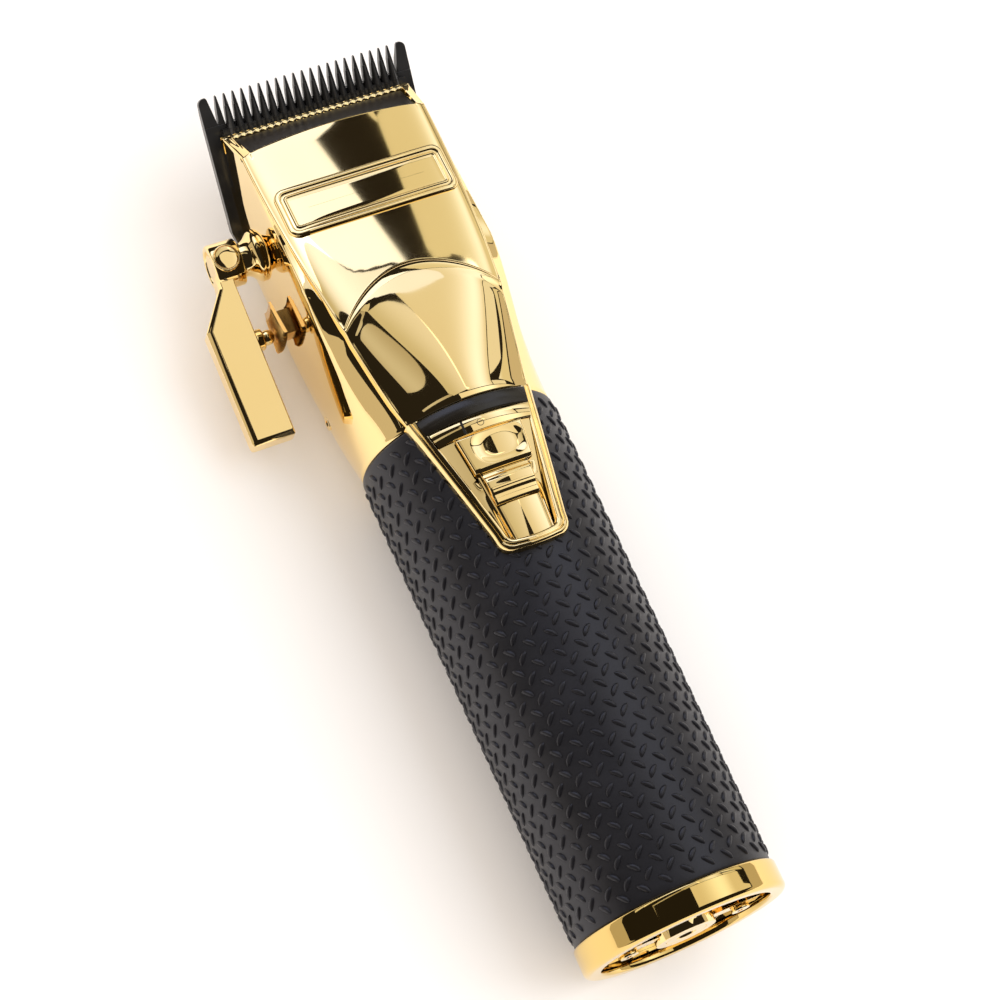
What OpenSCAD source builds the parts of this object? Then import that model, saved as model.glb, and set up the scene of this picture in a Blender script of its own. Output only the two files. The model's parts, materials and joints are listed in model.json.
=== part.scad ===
// Cordless hair clipper, lying on its back.
// +Y runs from the end cap to the blade, +X is the right side seen from the front and
// +Z is the front face. The origin is the mouth of the charging socket in the end cap.

/* [Handle] */
// Radius of the end ring
ring_r = 20.3; // [20:0.1:20.6]
// Length of the end ring
ring_len = 5.5; // [4.5:0.5:7]
// Radius of the recess in the end ring
recess_r = 17; // [15.5:0.1:17.4]
// Radius of the grip sleeve next to the end ring
grip_r_low = 20.1; // [19.8:0.1:20.3]
// Radius of the grip sleeve at its top
grip_r_top = 20.7; // [20.4:0.1:20.8]
// Distance from the end face to the top of the grip sleeve
grip_top = 105; // [100:1:108]
// Outer radius of the tube under the grip
core_r = 18.4; // [17.8:0.1:18.6]
// Wall of the tube under the grip
core_wall = 1.8; // [1.2:0.1:2]

/* [Head] */
// Half the width of the head
head_half = 20; // [19:0.1:20.4]
// Height of the front face above the axis at the shoulder
shoulder_z = 15; // [14:0.5:16]
// Distance from the end face to the shoulder
shoulder_y = 172.5; // [171:0.5:175]
// How far the front cover stands proud at the neck
cover_raise = 1.1; // [0.4:0.1:1.5]
// Half the width of the front cover where it meets the switch panel
cover_half_low = 12.6; // [11:0.1:13]
// Wall of the housings
wall = 1.5; // [1.2:0.1:1.6]
// Depth of the flat heel below the axis
heel_z = 20.9; // [20.8:0.1:21]

/* [Blades] */
// Width of the fixed blade
blade_w = 45.2; // [44:0.2:46]
// Depth of the fixed blade from heel to tooth tips
blade_len = 32; // [31:0.5:33]
// Thickness of the fixed blade
blade_t = 2.2; // [1.8:0.1:2.6]
// Angle between the blades and the handle
blade_angle = 41; // [40:0.5:42]
// Distance from the end face to the tooth tips
tip_y = 188.2; // [187.5:0.1:189]
// Height of the tooth tips above the axis
tip_z = 12.2; // [11.8:0.1:12.6]
// Number of pointed teeth between the two wide end teeth
tooth_count = 21; // [19:2:23]
// Distance from one tooth to the next
tooth_pitch = 1.88; // [1.8:0.01:1.9]
// Distance of the cutter's tips behind the fixed tips
cutter_gap = 2.5; // [2.2:0.1:3]
// Half the width of the cutter
cutter_half = 20; // [19.5:0.1:20]

/* [Taper lever] */
// Position of the lever's axis along the handle
pivot_y = 159.3; // [159:0.1:161]
// Height of the lever's axis
pivot_z = -3.5; // [-4:0.1:-3]
// Length of the lever from its axis
lever_len = 37.7; // [36:0.1:42]
// Slope of the lever towards the back
lever_tilt = 9.5; // [8:0.5:10]
// Turn of the lever to either side of its rest place, in degrees
lever_swing = 13.5; // [13.5:0.5:13.5]
// Blade travel over the whole turn of the lever
taper_travel = 1.5; // [1.2:0.1:1.6]

/* [Switch] */
// Distance from the end face to the lower edge of the switch panel
panel_low = 73.5; // [72:0.5:75]
// Half the width of the switch panel at its lower end
panel_half_low = 7.4; // [7:0.1:8]
// Radius of the top of the panel's rim
panel_r = 22; // [21.8:0.1:22.4]
// Width of the light band along the handle
band_len = 3.6; // [3:0.1:4]
// Travel of the switch button
switch_travel = 4; // [3:0.5:4.5]

/* [Charging socket] */
// Radius of the charging socket's bore
socket_r = 2; // [1.8:0.1:2.2]
// Depth of the charging socket's bore
socket_depth = 9; // [7:0.5:10]

/* [Hidden] */
$fn = 64;
tiny = 0.01;
slice_t = 0.2;
fit = 0.1;
deep = 60;
neck_y = grip_top + 0.2;
neck_r = 20;
core_in = core_r - core_wall;
cover_y = grip_top + 0.3;
cover_low = 7;
cutter_t = 2;
lip_n = cutter_t + 0.5;
seat_u = -18.8;
heel_u = -blade_len - 1.5;
tooth_len = 6;
end_tooth_x = (tooth_count + 1) / 2 * tooth_pitch;
blade_half = blade_w / 2;
cutter_teeth = tooth_count - 1;
cutter_tooth_len = 4.6;
cutter_rear = -17;
screw_x = 14.5;
screw_u = -23;
motor_r = 11.5;
motor_y = 114;
motor_len = 28;
shaft_r = 1.2;
cam_offset = 1.2;
cam_pin_r = 1.6;
cam_y = 147;
cam_tip_y = 166.5;
lever_r = 4.9;
lever_shaft_r = 3;
lever_pin_r = 1.2;
lever_pin_offset = taper_travel / 2 / sin(lever_swing);
// Place of the lever's axis in the blade's own frame: u along the blade, n away from it
pivot_u = (pivot_y - tip_y) * cos(blade_angle) + (pivot_z - tip_z) * sin(blade_angle);
pivot_n = (pivot_z - tip_z) * cos(blade_angle) - (pivot_y - tip_y) * sin(blade_angle);
ball_r = 1.6;
ball_x = -24.9;
ball_reach = 17;
rack_x = -23;
rack_out = 21.5;
rack_in = 7.2;
notch_step = lever_swing / 2;
cell_r = 9.2;
cell_y = 20;
cell_len = 65;
cell_z = -3;
board_z = 12.4;
board_t = 1.6;
board_half = 8.5;

// ---------- frames and helpers ----------

function mix(a, b, t) = a + (b - a) * t;
function clamp(t) = min(1, max(0, t));
function smooth(t) = t * t * (3 - 2 * t);
function arc(cx, cy, r, from, to, n) =
    [for (i = [0:n]) let (a = mix(from, to, i / n)) [cx + r * cos(a), cy + r * sin(a)]];

// The blade's own frame: the tips lie on x, +y runs towards them and +z away from the skin
module at_blade() {
    translate([0, tip_y, tip_z]) rotate([blade_angle, 0, 0]) children();
}

// The lever's own frame: the bar runs along -y from the axis
module at_lever() {
    translate([0, pivot_y, pivot_z]) rotate([lever_tilt, 0, 0]) children();
}

module rod_y(y0, y1, r) {
    translate([0, y0, 0]) rotate([-90, 0, 0]) cylinder(h = y1 - y0, r = r);
}

module rod_x(x0, x1, r) {
    translate([x0, 0, 0]) rotate([0, 90, 0]) cylinder(h = x1 - x0, r = r);
}

module tube_y(y0, y1, outer, inner) {
    difference() {
        rod_y(y0, y1, outer);
        rod_y(y0 - 1, y1 + 1, inner);
    }
}

module tube_x(x0, x1, outer, inner) {
    difference() {
        rod_x(x0, x1, outer);
        rod_x(x0 - 1, x1 + 1, inner);
    }
}

module block(x0, x1, y0, y1, z0, z1) {
    translate([x0, y0, z0]) cube([x1 - x0, y1 - y0, z1 - z0]);
}

// Steel screw along +y with a round head and a hexagon socket in it
module socket_screw(r, len, head_r, head_len) {
    difference() {
        union() {
            rod_y(0, len, r);
            rod_y(-head_len, tiny, head_r);
        }
        translate([0, -head_len - tiny, 0]) rotate([-90, 0, 0])
            cylinder(h = head_len * 0.6, r = head_r * 0.5, $fn = 6);
    }
}

// ---------- the head's outer shape ----------

// Along the head each section is a superellipse. It starts as the neck's circle and
// squares up towards the blade.
function along(y) = clamp((y - neck_y) / (shoulder_y - neck_y));
function half_width(y) = mix(neck_r, head_half, smooth(along(y)));
function front_height(y, raise) = mix(neck_r, shoulder_z, along(y)) + raise * (1 - 0.6 * along(y));
function back_depth(y) = mix(neck_r, heel_z + 0.2, smooth(clamp((y - neck_y) / 12)));
function front_power(y) = 2 + 10 * pow(along(y), 1.6);
function back_power(y) = 2 + 3.5 * clamp((y - neck_y) / 35);

function super_point(t, w, h, p) =
    let (c = cos(t), s = sin(t))
    [w * sign(c) * pow(abs(c), 2 / p), h * sign(s) * pow(abs(s), 2 / p)];

function section(y, inset, raise) =
    [for (i = [0:47]) let (t = i * 7.5)
        t <= 180
            ? super_point(t, half_width(y) + raise * 0.5 - inset,
                front_height(y, raise) - inset, front_power(y))
            : super_point(t, half_width(y) + raise * 0.5 - inset,
                back_depth(y) - inset, back_power(y))];

module section_slice(y, inset, raise) {
    translate([0, y, 0]) rotate([90, 0, 0]) linear_extrude(slice_t)
        polygon(section(y, inset, raise));
}

module head_loft(inset, raise, first, last) {
    steps = 10;
    for (i = [0:steps - 1]) {
        hull() {
            section_slice(mix(first, last, i / steps), inset, raise);
            section_slice(mix(first, last, (i + 1) / steps), inset, raise);
        }
    }
}

// Everything in front of the slope that runs from the shoulder down to the lip
module slope_cut(inset) {
    lip_y = tip_y - 7.9 * cos(blade_angle) - lip_n * sin(blade_angle);
    lip_z = tip_z - 7.9 * sin(blade_angle) + lip_n * cos(blade_angle);
    slope = atan2(shoulder_z - lip_z, lip_y - shoulder_y);
    translate([0, shoulder_y, shoulder_z]) rotate([-slope, 0, 0])
        translate([-deep / 2, -deep, -inset]) cube([deep, 2 * deep, deep]);
}

// The space that the blades need under the head
module blade_cut() {
    at_blade() {
        block(-deep, deep, seat_u, deep, -deep, lip_n);
        block(-deep, deep, heel_u + 0.1, seat_u + tiny, -deep, 0.15);
        block(-deep, deep, -2 * deep, heel_u + 0.2, -deep, -blade_t);
    }
}

module head_shell(raise) {
    difference() {
        head_loft(0, raise, neck_y, 186);
        difference() {
            head_loft(wall, raise, neck_y - 1, 186);
            slope_cut(wall);
            at_blade() block(-deep, deep, -2 * deep, heel_u, -deep, wall - blade_t);
        }
        slope_cut(0);
        blade_cut();
        block(-deep, deep, 0, 200, -deep, -heel_z);
    }
}

// The cover widens quickly above the switch panel and then runs along the head's corners
function cover_half(y) =
    let (left = 1 - along(y)) mix(cover_half_low, head_half - 0.4, 1 - left * left);

// Footprint of the front cover
module cover_outline(grow) {
    right = concat([[cover_half_low + grow, cover_y - 5]],
        [for (i = [0:8]) let (y = mix(cover_y, shoulder_y, i / 8)) [cover_half(y) + grow, y]],
        [[cover_half(shoulder_y) + grow, 200]]);
    left = [for (i = [len(right) - 1:-1:0]) [-right[i][0], right[i][1]]];
    translate([0, 0, cover_low]) linear_extrude(deep) polygon(concat(right, left));
}

// ---------- housings ----------

module front_housing() {
    color("gold") intersection() {
        head_shell(cover_raise);
        cover_outline(0);
    }
}

module rear_housing() {
    color("gold") difference() {
        head_shell(0);
        cover_outline(0.08);
        translate([0, pivot_y, pivot_z]) rod_x(-30, 0, 4.8);
        for (side = [-1, 1]) scale([side, 1, 1])
            translate([0, 122, -9.5]) rod_x(10, 30, 1.6);
    }
}

module badge_plate() {
    module outline(half, low, high, r) {
        linear_extrude(deep) polygon(concat(
            arc(half - r, low + r, r, -90, 0, 5), arc(half - r, high - r, r, 0, 90, 5),
            arc(r - half, high - r, r, 90, 180, 5), arc(r - half, low + r, r, 180, 270, 5)));
    }
    color("gold") difference() {
        intersection() {
            head_loft(-0.7, cover_raise, 146, 166);
            outline(18, 149.6, 161, 2);
        }
        head_loft(0, cover_raise, neck_y, 186);
        difference() {
            outline(16.6, 151, 159.6, 1.2);
            head_loft(-0.35, cover_raise, 146, 166);
        }
    }
}

module housing_screws() {
    color("goldenrod") for (side = [-1, 1]) scale([side, 1, 1])
        translate([19.2, 122, -9.5]) rotate([0, 0, 90]) socket_screw(1, 4, 1.5, 0.8);
}

// ---------- switch panel ----------

function panel_half(y) =
    mix(panel_half_low, cover_half_low + 0.2, (y - panel_low) / (grip_top - panel_low));

// Tapered outline with rounded lower corners, seen from the front
module panel_outline(inset, high) {
    r = 3 - inset * 0.5;
    low = panel_low + inset;
    half_low = panel_half(low) - inset;
    half_high = panel_half(high) - inset;
    lean = atan2(half_high - half_low, high - low);
    linear_extrude(deep) polygon(concat(
        [[half_high, high], [-half_high, high]],
        arc(r - half_low, low + r, r, 180 + lean, 270, 6),
        arc(half_low - r, low + r, r, 270, 360 - lean, 6)));
}

band_low = grip_top - band_len;

module switch_panel() {
    color("gold") {
        difference() {
            intersection() {
                tube_y(panel_low - 1, grip_top, panel_r, core_r + fit);
                panel_outline(0, grip_top);
            }
            intersection() {
                rod_y(panel_low, grip_top + 1, deep);
                panel_outline(1.5, grip_top + 1);
            }
        }
        difference() {
            intersection() {
                tube_y(panel_low + 1, band_low, 20.3, core_r + fit);
                panel_outline(1.5 + tiny, grip_top);
            }
            block(-2.6, 2.6, 80, 94, 0, deep);
        }
        intersection() {
            tube_y(band_low - 3.2, band_low - 0.1, 21.3, 20.3 - tiny);
            panel_outline(1.5 + tiny, grip_top);
        }
    }
}

module window_band() {
    color("black") intersection() {
        tube_y(band_low, grip_top, 21.7, core_r + fit);
        panel_outline(1.5 + 0.05, grip_top);
    }
}

module switch_button() {
    color("gold") {
        intersection() {
            difference() {
                union() {
                    tube_y(83, 97.4, 21.4, 20.6);
                    tube_y(89.5, 97.4, 22.8, 20.6);
                    tube_y(86.4, 88.2, 22.2, 20.6);
                    tube_y(83, 84.8, 21.9, 20.6);
                }
                block(-deep, deep, 0, 200, -deep, 0);
            }
            linear_extrude(deep) polygon([[-5.2, 82], [5.2, 82], [7.3, 98], [-7.3, 98]]);
        }
        block(-2, 2, 88.5, 92, 17.3, 20.7);
    }
}

module switch_carrier() {
    color("dimgray") difference() {
        block(-3, 3, 87.5, 93, 15.6, 17.2);
        block(-0.8, 0.8, 87, 94, 16.6, 18);
    }
}

module slide_switch() {
    color("silver") difference() {
        block(-4, 4, 80, 98, board_z + board_t + 0.02, 15.2);
        block(-1, 1, 84, 94, 14.7, 16);
    }
}

module circuit_board() {
    color("darkgreen") difference() {
        block(-board_half, board_half, 45, 104, board_z, board_z + board_t);
        for (side = [-1, 1]) translate([side * 6.5, 49, 0]) cylinder(h = 30, r = 1.2);
    }
}

module status_leds() {
    color("white") for (i = [-1:1])
        block(i * 5 - 1.2, i * 5 + 1.2, 100.5, 102.9, board_z + board_t + 0.02, 15.4);
}

module control_chip() {
    color("black") {
        block(-4, 4, 60, 68, board_z + board_t + 0.02, 15.1);
        block(-3, 3, 70.5, 75, board_z + board_t + 0.02, 15);
    }
}

// ---------- handle ----------

module grip_sleeve() {
    color("dimgray") difference() {
        translate([0, ring_len + fit, 0]) rotate([-90, 0, 0])
            cylinder(h = grip_top - ring_len - fit, r1 = grip_r_low, r2 = grip_r_top);
        rod_y(0, 200, core_r + fit);
        panel_outline(-0.1, grip_top + 5);
    }
}

module core_tube() {
    color("darkgray") difference() {
        tube_y(ring_len + fit, 112, core_r, core_in);
        // Opening under the switch and the light band
        block(-7, 7, 78, 112.5, 0, deep);
        block(-9.5, 9.5, 99, 112.5, 0, deep);
    }
}

module end_ring() {
    edge = 0.8;
    color("gold") rotate([-90, 0, 0]) rotate_extrude() polygon(concat(
        [[recess_r, 0.4], [recess_r + 0.4, 0]],
        arc(ring_r - edge, edge, edge, 270, 360, 4),
        [[ring_r, ring_len], [core_in - 0.3, ring_len], [core_in - 0.3, ring_len - 1.3],
        [recess_r, ring_len - 1.3]]));
}

module end_plate() {
    floor_y = 2.6;
    color("gold") difference() {
        union() {
            tube_y(floor_y, ring_len - 1.4, recess_r - 0.05, 4.1);
            tube_y(0, ring_len - 1.4, 6, 4.1);
            // Raised rib across the plate and four blocks beside it
            for (side = [-1, 1]) scale([side, 1, 1]) {
                block(5.6, 15.5, 1.2, floor_y + tiny, -2, 2);
                block(8.5, 13.5, 1.6, floor_y + tiny, 4.6, 8.6);
                block(8.5, 13.5, 1.6, floor_y + tiny, -8.6, -4.6);
            }
        }
        // Vent pockets above and below the socket
        for (side = [-1, 1]) scale([1, 1, side]) {
            block(-6.2, 6.2, -1, 10, 8.2, 12.6);
        }
        for (side = [-1, 1]) translate([side * 11.5, 0, 0]) rod_y(-1, 10, 1.15);
    }
}

module end_screws() {
    color("goldenrod") for (side = [-1, 1]) translate([side * 11.5, 1.19, 0])
        socket_screw(1.05, 9, 1.8, 0.9);
}

module charging_socket() {
    color("black") difference() {
        rod_y(0, socket_depth + 1.5, 4);
        rod_y(-1, socket_depth, socket_r);
        rod_y(socket_depth - tiny, socket_depth + 2, 0.9);
    }
}

module socket_contact() {
    color("gold") rod_y(socket_depth + 0.1, socket_depth + 5, 0.8);
}

// ---------- battery ----------

module battery_cell() {
    color("royalblue") translate([0, 0, cell_z]) {
        rod_y(cell_y, cell_y + cell_len, cell_r);
        rod_y(cell_y + cell_len - tiny, cell_y + cell_len + 1, 3);
    }
}

module battery_tray() {
    color("black") translate([0, 0, cell_z]) difference() {
        union() {
            tube_y(cell_y - 2.5, cell_y + cell_len + 4, cell_r + 1.5, cell_r + 0.15);
            rod_y(cell_y - 3.5, cell_y - 1.5, cell_r + 1.5);
            rod_y(cell_y + cell_len + 2.6, cell_y + cell_len + 4, cell_r + 1.5);
            block(-13, 13, cell_y, cell_y + cell_len, -7, -5.5);
        }
        block(-deep, deep, 0, 200, 3, deep);
        rod_y(cell_y - 1.5, cell_y + cell_len + 2.6, cell_r + 0.15);
    }
}

module battery_contacts() {
    color("silver") translate([0, 0, cell_z]) {
        block(-3, 3, cell_y + cell_len + 1.1, cell_y + cell_len + 1.6, -5, 9);
        block(-3, 3, cell_y - 1.2, cell_y - 0.4, -5, 9);
    }
}

// ---------- motor ----------

module motor_can() {
    color("silver") difference() {
        rod_y(motor_y, motor_y + motor_len, motor_r);
        rod_y(motor_y - 1, motor_y + motor_len - 1.2, motor_r - 0.8);
        rod_y(motor_y, motor_y + motor_len + 1, 3.6);
        for (side = [-1, 1]) translate([side * 8, 0, 0])
            rod_y(motor_y + motor_len - 2, motor_y + motor_len + 1, 0.9);
    }
}

module motor_end_cap() {
    color("black") difference() {
        union() {
            rod_y(motor_y - 2, motor_y - 0.05, motor_r);
            rod_y(motor_y - 0.1, motor_y + 2, motor_r - 0.9);
        }
        rod_y(motor_y - 3, motor_y + 3, shaft_r + 0.06);
    }
}

module motor_magnets() {
    color("dimgray") difference() {
        tube_y(motor_y + 4, motor_y + 24, motor_r - 0.9, motor_r - 2.4);
        block(-deep, deep, motor_y, motor_y + 30, -1, 1);
    }
}

module rotor() {
    color("chocolate") difference() {
        tube_y(motor_y + 4, motor_y + 24, motor_r - 2.8, shaft_r + tiny);
        for (a = [0:60:359]) rotate([0, a, 0])
            block(-0.7, 0.7, motor_y, motor_y + 30, 4, motor_r);
    }
}

module motor_shaft() {
    color("silver") rod_y(motor_y - 3, cam_y + 4, shaft_r);
}

module motor_bush() {
    color("goldenrod") tube_y(motor_y + motor_len - 3, motor_y + motor_len + 2.4, 3.5, shaft_r + 0.05);
}

module motor_mount() {
    front = motor_y + motor_len + 0.1;
    color("dimgray") difference() {
        union() {
            rod_y(front, front + 2, 13.5);
            block(-18.3, 18.3, front, front + 2, -5, 5);
        }
        rod_y(front - 1, front + 3, 3.6);
        for (side = [-1, 1]) translate([side * 8, 0, 0]) rod_y(front - 1, front + 3, 1.1);
    }
}

module motor_screws() {
    color("silver") for (side = [-1, 1])
        translate([side * 8, motor_y + motor_len + 2.12, 0]) rotate([0, 0, 180])
            socket_screw(0.8, 3.8, 1.8, 1.1);
}

module eccentric_cam() {
    color("silver") {
        difference() {
            rod_y(cam_y, cam_y + 5, 5.5);
            rod_y(cam_y - 1, cam_y + 4 + tiny, shaft_r + tiny);
        }
        translate([0, 0, -cam_offset]) rod_y(cam_y + 5 - tiny, cam_tip_y, cam_pin_r);
    }
}

// ---------- blades ----------

// One row of pointed teeth with flat roots, seen along the blade's thickness
function teeth(count, pitch, root, tip, root_w, tip_w) =
    [for (i = [0:count - 1]) let (x = (i - (count - 1) / 2) * pitch)
        each [[x - root_w / 2, root], [x - tip_w / 2, tip],
            [x + tip_w / 2, tip], [x + root_w / 2, root]]];

module fixed_blade() {
    root = -tooth_len;
    inner = end_tooth_x - 1;
    corner = 1.2;
    plan = concat(
        [[-blade_half + 1, -blade_len]],
        [[-blade_half, -blade_len + 4], [-blade_half, -corner]],
        arc(-blade_half + corner, -corner, corner, 180, 100, 4),
        [[-inner - 1, -0.4], [-inner, root]],
        teeth(tooth_count, tooth_pitch, root, 0, 1.35, 0.3),
        [[inner, root], [inner + 1, -0.4]],
        arc(blade_half - corner, -corner, corner, 80, 0, 4),
        [[blade_half, -blade_len + 4], [blade_half - 1, -blade_len]]);
    color("black") at_blade() difference() {
        intersection() {
            translate([0, 0, -10]) linear_extrude(20) polygon(plan);
            // Side view: flat cutting face, skin side rising towards the tips
            translate([-30, 0, 0]) rotate([90, 0, 90]) linear_extrude(60) polygon([
                [-blade_len - 1, 0], [-blade_len - 1, -blade_t], [-6.5, -blade_t],
                [-3, -blade_t * 0.82], [-1, -blade_t * 0.55], [0.1, -0.7], [0.1, 0]]);
        }
        for (side = [-1, 1]) translate([side * screw_x, screw_u, -5]) cylinder(h = 10, r = 1.7);
        for (side = [-1, 1]) translate([side * screw_x, screw_u, -5]) cylinder(h = 3.9, r = 3.1);
    }
}

module cutter_blade() {
    tip = -cutter_gap;
    root = tip - cutter_tooth_len;
    // The cutter rests a third of a pitch to one side
    phase = 0.6;
    plan = concat(
        [[-cutter_half, cutter_rear], [-cutter_half, root]],
        teeth(cutter_teeth, tooth_pitch, root, tip, 1.6, 0.5),
        [[cutter_half, root], [cutter_half, cutter_rear]]);
    color("black") at_blade() translate([phase, 0, 0.05]) intersection() {
        translate([0, 0, -5]) linear_extrude(20) polygon(plan);
        translate([-30, 0, 0]) rotate([90, 0, 90]) linear_extrude(60) polygon([
            [cutter_rear - 1, 0], [tip + 1, 0], [tip + 1, 0.9],
            [root, cutter_t - 0.05], [cutter_rear - 1, cutter_t - 0.05]]);
    }
}

module blade_screws() {
    color("silver") at_blade() for (side = [-1, 1])
        translate([side * screw_x, screw_u, -1.12]) rotate([90, 0, 0])
            socket_screw(1.5, 4, 2.8, 1.1);
}

module blade_bracket() {
    color("silver") at_blade() difference() {
        union() {
            block(-17, 17, -32.2, -19.6, 0.05, 2);
            for (side = [-1, 1]) translate([side * screw_x, screw_u, 1.9])
                cylinder(h = 2.5, r = 2.2);
            block(-13, -10.5, -36, -27.6, 0.05, pivot_n + 3);
        }
        for (side = [-1, 1]) translate([side * screw_x, screw_u, -1]) cylinder(h = 12, r = 1.55);
        block(-8, 8, -26.5, 0, -1, 5);
        // Room for the disc on the lever's shaft
        block(-20, -13.2, -40, screw_u - 3, -1, 5);
        // Slot for the pin of the lever's shaft
        block(-14, -10, pivot_u - lever_pin_r - 0.15, pivot_u + lever_pin_r + 0.15,
            pivot_n - lever_pin_offset - 1.6, pivot_n + 5);
    }
}

module blade_guide() {
    color("dimgray") at_blade() difference() {
        block(-18.3, 18.3, -33, seat_u - 0.1, 2.2, 4);
        block(-8.2, 8.2, -27.5, 0, 0, 6);
        block(-20, -10.1, -40, -26.2, 0, 6);
        for (side = [-1, 1])
            block(side * screw_x - 2.6, side * screw_x + 2.6, screw_u - 3.6, screw_u + 3.6, 0, 6);
    }
}

module cutter_yoke() {
    color("white") at_blade() {
        block(-6.4, 6.4, cutter_rear, -11, cutter_t + 0.02, 3.6);
        for (side = [-1, 1]) scale([side, 1, 1]) {
            block(4.3, 6.4, -26, -16, 2.4, 9);
            block(4.3, 6.4, -16.1, -13, 2.4, 7.4);
        }
    }
}

module tension_spring() {
    leaf = 0.9;
    color("silver") at_blade() {
        for (side = [-1, 1]) scale([side, 1, 1]) translate([8.7, 0, 0])
            rotate([90, 0, 90]) linear_extrude(1.2) polygon([
                [-30.5, 4.1], [-28, 4.1], [-28, 5.2], [-17.4, 9.4],
                [-17.4, 9.4 + leaf], [-29, 5.4], [-30.5, 5.4]]);
        block(-9, 9, -18.4, -17.4, 9.4, 9.4 + leaf);
    }
}

// ---------- taper lever ----------

module taper_lever() {
    bar_t = 5.6;
    color("gold") at_lever() difference() {
        union() {
            tube_x(-30.5, -24.4, lever_r, lever_shaft_r + tiny);
            difference() {
                translate([0, 0, -bar_t / 2]) linear_extrude(bar_t) polygon([
                    [-27, -2], [-30.5, -2], [-30.9, -5], [-36.4, -13],
                    [-36, -lever_len], [-26.9, -lever_len], [-27.2, -5]]);
                rod_x(-40, 0, lever_shaft_r + tiny);
            }
            translate([0, -ball_reach, 0]) rod_x(-28.5, -25.7, 2.3);
        }
        translate([0, -ball_reach, 0]) rod_x(-32, -20, ball_r + 0.15);
        translate([-27.6, 0, 0]) cylinder(h = 10, r = 1.9);
    }
}

module lever_shaft() {
    // The pin stands straight across the blade's direction at half travel
    turn = blade_angle - 90;
    color("silver") translate([0, pivot_y, pivot_z]) {
        rod_x(-30.3, -15.7, lever_shaft_r);
        rod_x(-15.8, -13.5, 5.2);
        rotate([turn, 0, 0]) translate([0, lever_pin_offset, 0])
            rod_x(-13.6, -10.2, lever_pin_r);
    }
}

module lever_bush() {
    color("gold") translate([0, pivot_y, pivot_z]) difference() {
        union() {
            rod_x(-22.2, -20.15, 5.4);
            rod_x(-20.2, -16.2, 4.6);
        }
        rod_x(-30, 0, lever_shaft_r + 0.05);
    }
}

module lever_washer() {
    color("goldenrod") translate([0, pivot_y, pivot_z])
        tube_x(-24.3, -22.4, 4.3, lever_shaft_r + tiny);
}

module grub_screw() {
    color("goldenrod") at_lever() translate([-27.6, 0, 0]) difference() {
        translate([0, 0, 3.05]) cylinder(h = 1.3, r = 1.75);
        translate([0, 0, 3.6]) cylinder(h = 2, r = 0.9, $fn = 6);
    }
}

// Sector plate between the lever and the head, with a notch for each place of the lever
module detent_rack() {
    first = 180 - lever_swing - 4;
    last = 180 + lever_swing + 4;
    color("goldenrod") at_lever() difference() {
        translate([rack_x, 0, 0]) rotate([90, 0, 90]) linear_extrude(-20.15 - rack_x)
            polygon(concat(arc(0, 0, rack_out, first, last, 14), arc(0, 0, rack_in, last, first, 8)));
        for (i = [-2:2]) rotate([i * notch_step, 0, 0])
            translate([rack_x - 0.6, 0, 0]) rotate([90, 0, 0])
                translate([0, 0, 14]) cylinder(h = 10, r = 1.2);
    }
}

module detent_ball() {
    color("gold") at_lever() translate([ball_x, -ball_reach, 0]) sphere(r = ball_r);
}

module detent_spring() {
    color("silver") at_lever() for (i = [0:3])
        translate([-31.6 + i * 1.5, -ball_reach, 0]) rotate([0, 90, 0])
            rotate_extrude() translate([1.25, 0]) circle(r = 0.28, $fn = 24);
}

front_housing();
rear_housing();
badge_plate();
window_band();
switch_panel();
switch_button();
switch_carrier();
slide_switch();
circuit_board();
status_leds();
control_chip();
grip_sleeve();
core_tube();
end_ring();
end_plate();
end_screws();
charging_socket();
socket_contact();
battery_cell();
battery_tray();
battery_contacts();
motor_can();
motor_end_cap();
motor_magnets();
rotor();
motor_shaft();
motor_bush();
motor_mount();
motor_screws();
eccentric_cam();
cutter_yoke();
cutter_blade();
fixed_blade();
blade_screws();
blade_bracket();
blade_guide();
tension_spring();
taper_lever();
lever_shaft();
lever_bush();
lever_washer();
grub_screw();
detent_rack();
detent_ball();
detent_spring();
housing_screws();
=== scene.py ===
import json
import math
import bmesh
import bpy
from mathutils import Matrix, Vector


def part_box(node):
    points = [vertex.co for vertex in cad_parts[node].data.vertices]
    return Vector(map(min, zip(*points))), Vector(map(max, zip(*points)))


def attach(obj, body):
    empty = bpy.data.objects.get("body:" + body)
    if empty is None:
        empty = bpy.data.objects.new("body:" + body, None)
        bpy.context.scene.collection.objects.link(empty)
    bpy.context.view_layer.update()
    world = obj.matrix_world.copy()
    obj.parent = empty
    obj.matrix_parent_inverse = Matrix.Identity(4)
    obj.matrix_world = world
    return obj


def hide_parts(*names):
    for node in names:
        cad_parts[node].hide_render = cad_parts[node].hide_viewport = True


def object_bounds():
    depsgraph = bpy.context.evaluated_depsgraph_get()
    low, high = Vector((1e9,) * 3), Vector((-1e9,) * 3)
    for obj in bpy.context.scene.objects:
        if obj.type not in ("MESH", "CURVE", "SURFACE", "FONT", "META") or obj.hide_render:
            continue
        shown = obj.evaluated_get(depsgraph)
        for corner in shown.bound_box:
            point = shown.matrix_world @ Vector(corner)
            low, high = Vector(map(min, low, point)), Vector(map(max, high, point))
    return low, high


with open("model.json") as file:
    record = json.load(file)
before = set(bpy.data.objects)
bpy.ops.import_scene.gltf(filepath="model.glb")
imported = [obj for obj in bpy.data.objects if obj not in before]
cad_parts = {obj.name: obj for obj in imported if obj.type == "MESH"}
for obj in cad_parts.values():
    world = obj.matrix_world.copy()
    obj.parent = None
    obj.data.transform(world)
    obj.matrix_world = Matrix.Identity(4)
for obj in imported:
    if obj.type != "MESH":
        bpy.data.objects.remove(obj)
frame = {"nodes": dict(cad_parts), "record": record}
start_bounds = [list(corner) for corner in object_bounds()]
MM = 0.001


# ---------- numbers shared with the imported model, in millimetres ----------

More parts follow.
